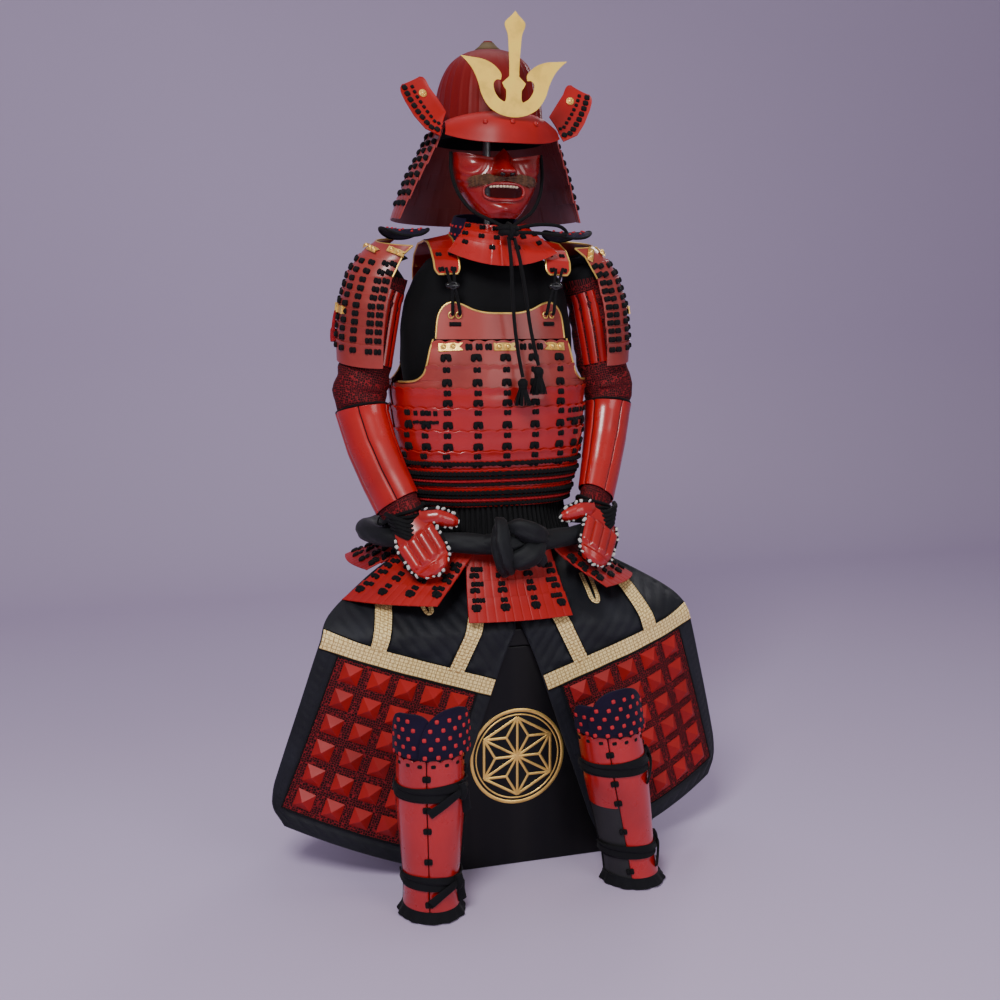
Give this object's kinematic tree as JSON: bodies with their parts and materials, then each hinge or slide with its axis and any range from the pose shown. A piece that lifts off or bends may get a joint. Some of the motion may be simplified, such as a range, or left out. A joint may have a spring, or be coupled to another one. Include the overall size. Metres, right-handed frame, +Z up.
{
  "type": "samurai armour on a stand and armour box",
  "caption": "Laced lacquer armour with crested helmet and face mask, worn empty and seated on its armour box by a plain form.",
  "frame": {"origin": "under the middle of the whole, on the surface that the box and shin guards stand on", "axes": "+Z up, -Y the way the armour faces, +X the wearer's left"},
  "size_m": [0.9564, 0.6531, 1.6488],
  "materials": {
    "red_lacquer": "gloss",
    "muted_red_lacquer": "satin",
    "black_lacquer": "gloss",
    "black_cloth": "matte",
    "navy_cloth": "matte",
    "black_lacing": "matte",
    "gilt": "satin",
    "red_brocade": "matte",
    "gold_brocade": "matte",
    "hair": "matte",
    "black_wood": "satin"
  },
  "bodies": {
    "root": {"armour_box": "black_lacquer", "box_lid": "black_lacquer", "stand_form": "black_wood", "toggle_left": "black_wood", "toggle_right": "black_wood", "cuirass_front": "red_lacquer", "breast_plate": "red_lacquer", "cuirass_back": "red_lacquer", "shoulder_strap_left": "red_lacquer", "shoulder_strap_right": "red_lacquer", "tasset_front": "red_lacquer", "tasset_front_left": "red_lacquer", "tasset_front_right": "red_lacquer", "tasset_side_left": "red_lacquer", "tasset_side_right": "red_lacquer", "tasset_back_left": "red_lacquer", "tasset_back_right": "red_lacquer", "forearm_guard_left": "red_lacquer", "forearm_guard_right": "red_lacquer", "hand_guard_left": "red_lacquer", "hand_guard_right": "red_lacquer", "helmet_bowl": "red_lacquer", "helmet_peak": "red_lacquer", "turnback_left": "red_lacquer", "turnback_right": "red_lacquer", "face_mask": "red_lacquer", "throat_guard": "red_lacquer", "thigh_field_left": "red_lacquer", "thigh_field_right": "red_lacquer", "shin_guard_left": "red_lacquer", "shin_guard_right": "red_lacquer", "neck_guard": "muted_red_lacquer", "shoulder_guard_left": "muted_red_lacquer", "shoulder_guard_right": "muted_red_lacquer", "helmet_finial": "gilt", "helmet_crest": "gilt", "sash": "black_cloth", "sash_knot": "black_cloth", "thigh_apron_left": "black_cloth", "thigh_apron_right": "black_cloth", "upper_tie_left": "black_cloth", "upper_tie_right": "black_cloth", "lower_tie_left": "black_cloth", "lower_tie_right": "black_cloth", "collar": "navy_cloth", "shoulder_wing_left": "navy_cloth", "shoulder_wing_right": "navy_cloth", "knee_flap_left": "navy_cloth", "knee_flap_right": "navy_cloth", "waist_lacing": "black_lacing", "chin_cord": "black_lacing", "cord_tail_left": "black_lacing", "cord_tail_right": "black_lacing", "tassel_left": "black_lacing", "tassel_right": "black_lacing", "sleeve_left": "red_brocade", "sleeve_right": "red_brocade", "thigh_band_left": "gold_brocade", "thigh_band_right": "gold_brocade", "moustache": "hair"}
  },
  "joints": []
}
